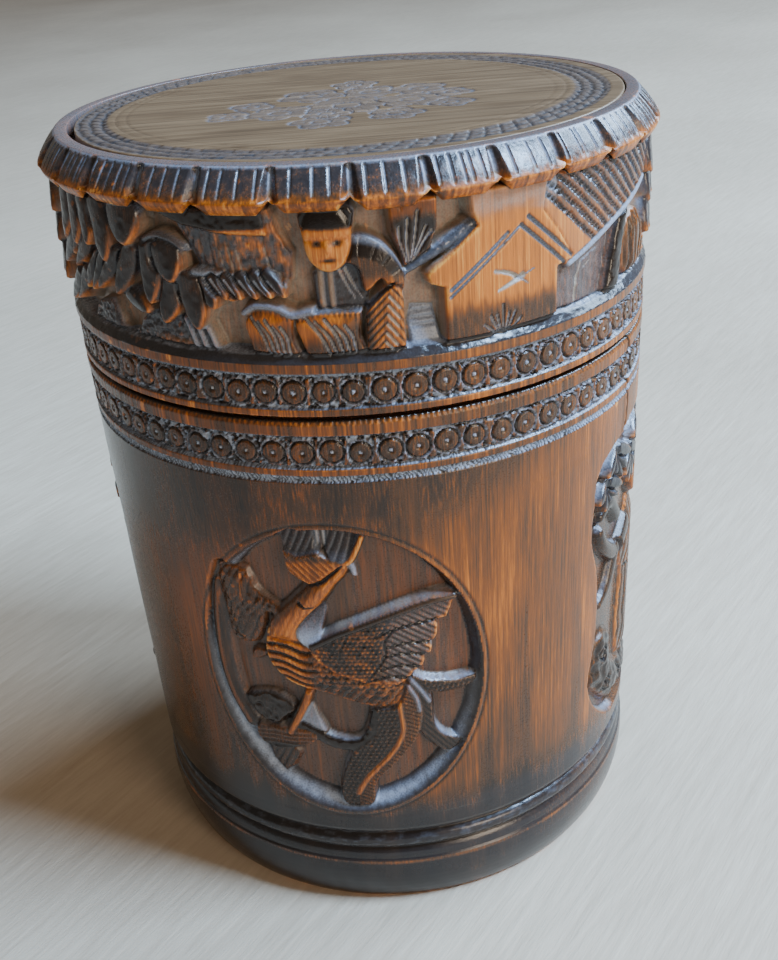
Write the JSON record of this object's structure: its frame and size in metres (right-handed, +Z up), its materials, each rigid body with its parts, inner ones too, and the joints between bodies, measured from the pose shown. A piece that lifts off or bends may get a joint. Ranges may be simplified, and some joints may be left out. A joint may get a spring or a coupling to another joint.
{
  "type": "brush pot",
  "caption": "Round lidded brush pot of thick carved bamboo, with a lift-off lid, a fringed rim, bands of carved rings and sunk oval panels.",
  "frame": {"origin": "centre of the foot's underside, on the axis of the culm", "axes": "+Z up along the culm's axis towards the lid; -Y is the front, with the bird medallion a little to the left; +X to the right"},
  "size_m": [0.1246, 0.1246, 0.165],
  "materials": {
    "pot_lacquered_bamboo": "satin lacquer, red-brown with dark scorched bands",
    "lid_lacquered_bamboo": "satin lacquer, dark brown, worn to orange on the edges",
    "lid_panel_wood": "thin worn lacquer over straight grain",
    "base_panel_wood": "matt stained wood",
    "collar_raw_bamboo": "bare bamboo, smooth"
  },
  "bodies": {
    "pot": {"body_wall": "pot_lacquered_bamboo", "base_panel": "base_panel_wood", "mouth_collar": "collar_raw_bamboo"},
    "lid": {"lid_wall": "lid_lacquered_bamboo", "lid_top_panel": "lid_panel_wood"}
  },
  "joints": [
    {"name": "lid_lift", "type": "slide", "parent": "pot", "child": "lid", "axis": [0, 0, 1], "range_m": [0, 0.16]}
  ]
}
